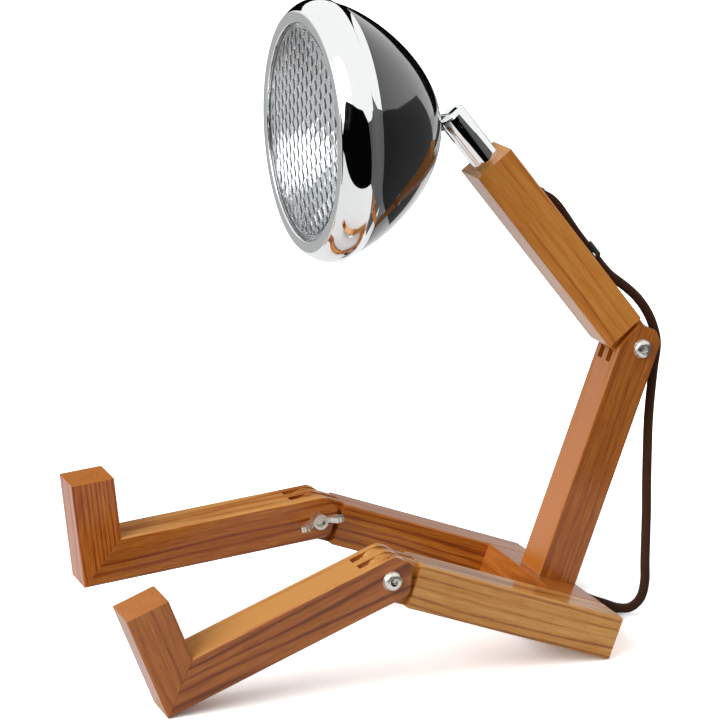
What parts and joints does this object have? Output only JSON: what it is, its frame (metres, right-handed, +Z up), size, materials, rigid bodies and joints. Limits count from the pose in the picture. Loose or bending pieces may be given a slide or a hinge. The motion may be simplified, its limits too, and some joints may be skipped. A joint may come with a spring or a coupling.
{
  "type": "robot shaped desk lamp",
  "caption": "Jointed wooden desk lamp that sits on a tilted seat with two bending legs, a torso and an arm that carries a round head on a swivelling, tilting chromed neck.",
  "frame": {"origin": "on the floor, under the middle of the lamp's own box (cord, switch and plug left out)", "axes": "+Z up; the lamp faces -X; -Y is the lamp's left side, where the heads of the elbow bolt and the left knee bolt are"},
  "size_m": [0.3846, 0.3396, 0.4127],
  "materials": {
    "teak": "oiled teak, satin",
    "beech": "plain beech",
    "steel": "bright zinc",
    "chrome": "polished chrome",
    "brass": "turned",
    "nickel_pins": "nickel plated",
    "black_enamel": "gloss black enamel",
    "lens_glass": "clear pressed glass",
    "bright_aluminium": "bright anodised",
    "gasket_rubber": "matt",
    "white_ceramic": "glazed",
    "opal_glass": "opal",
    "black_nylon": "moulded",
    "brown_plastic": "moulded dark brown",
    "textile_cord": "braided brown textile"
  },
  "bodies": {
    "seat": {"left_thigh": "teak", "right_thigh": "teak", "hip_block": "teak", "hip_dowels": "beech", "torso": "teak", "torso_screws": "steel", "elbow_bolt": "steel", "elbow_washers": "steel", "fall_cord": "textile_cord", "link_cord": "textile_cord", "tail_cord": "textile_cord", "cord_coil": "textile_cord", "coil_tie": "black_nylon", "switch_base": "brown_plastic", "switch_cover": "brown_plastic", "switch_screws": "steel", "plug_body": "brown_plastic", "plug_pins": "nickel_pins"},
    "elbow_nut": {"elbow_wing_nut": "steel"},
    "left_leg": {"left_shank": "teak", "left_foot": "teak", "left_heel_dowels": "beech", "left_knee_bolt": "steel", "left_knee_washers": "steel"},
    "left_nut": {"left_wing_nut": "steel"},
    "right_leg": {"right_shank": "teak", "right_foot": "teak", "right_heel_dowels": "beech", "right_knee_bolt": "steel", "right_knee_washers": "steel"},
    "right_nut": {"right_wing_nut": "steel"},
    "arm": {"upper_arm": "teak", "neck_bush": "brass", "neck_grub_screw": "steel", "cord_sleeve": "black_nylon", "cable_clip": "black_nylon", "clip_screws": "steel", "inner_lead": "textile_cord", "arm_cord": "textile_cord"},
    "neck": {"neck_tube": "chrome", "tilt_pin": "chrome", "neck_lead": "textile_cord"},
    "head": {"head_knuckle": "chrome", "knuckle_washer": "steel", "knuckle_nut": "steel", "lamp_shell": "black_enamel", "bezel_ring": "chrome", "bezel_screw": "steel", "lens": "lens_glass", "lens_gasket": "gasket_rubber", "reflector": "bright_aluminium", "reflector_clips": "steel", "lamp_holder": "white_ceramic", "bulb": "opal_glass", "head_lead": "textile_cord"},
    "rocker": {"switch_rocker": "brown_plastic"}
  },
  "joints": [
    {"name": "left_knee", "type": "hinge", "parent": "seat", "child": "left_leg", "pos_m": [-0.02244, -0.0695, 0.06926], "axis": [0, -1, 0], "range_deg": [-41.4, 48.5]},
    {"name": "right_knee", "type": "hinge", "parent": "seat", "child": "right_leg", "pos_m": [-0.02244, 0.0695, 0.06926], "axis": [0, -1, 0], "range_deg": [-25.9, 64]},
    {"name": "elbow", "type": "hinge", "parent": "seat", "child": "arm", "pos_m": [0.17543, 0, 0.18013], "axis": [0, -1, 0], "range_deg": [-68.7, 29.3], "deforming": ["arm_cord", "fall_cord"]},
    {"name": "neck_swivel", "type": "hinge", "parent": "arm", "child": "neck", "pos_m": [0.07346, 0, 0.30693], "axis": [-0.617, 0, 0.7869], "range_deg": [-170, 170]},
    {"name": "head_tilt", "type": "hinge", "parent": "neck", "child": "head", "pos_m": [0.05365, 0, 0.33219], "axis": [0, -1, 0], "range_deg": [-51.9, 43]},
    {"name": "left_nut_turn", "type": "hinge", "parent": "left_leg", "child": "left_nut", "pos_m": [-0.02244, -0.0695, 0.06926], "axis": [0, 1, 0], "range_deg": [0, 360]},
    {"name": "right_nut_turn", "type": "hinge", "parent": "right_leg", "child": "right_nut", "pos_m": [-0.02244, 0.0695, 0.06926], "axis": [0, -1, 0], "range_deg": [0, 360]},
    {"name": "elbow_nut_turn", "type": "hinge", "parent": "seat", "child": "elbow_nut", "pos_m": [0.17543, 0, 0.18013], "axis": [0, 1, 0], "range_deg": [0, 360]},
    {"name": "switch_rock", "type": "hinge", "parent": "seat", "child": "rocker", "pos_m": [0.148, 0.073, 0.0125], "axis": [1, 0, 0], "range_deg": [0, 24]}
  ]
}
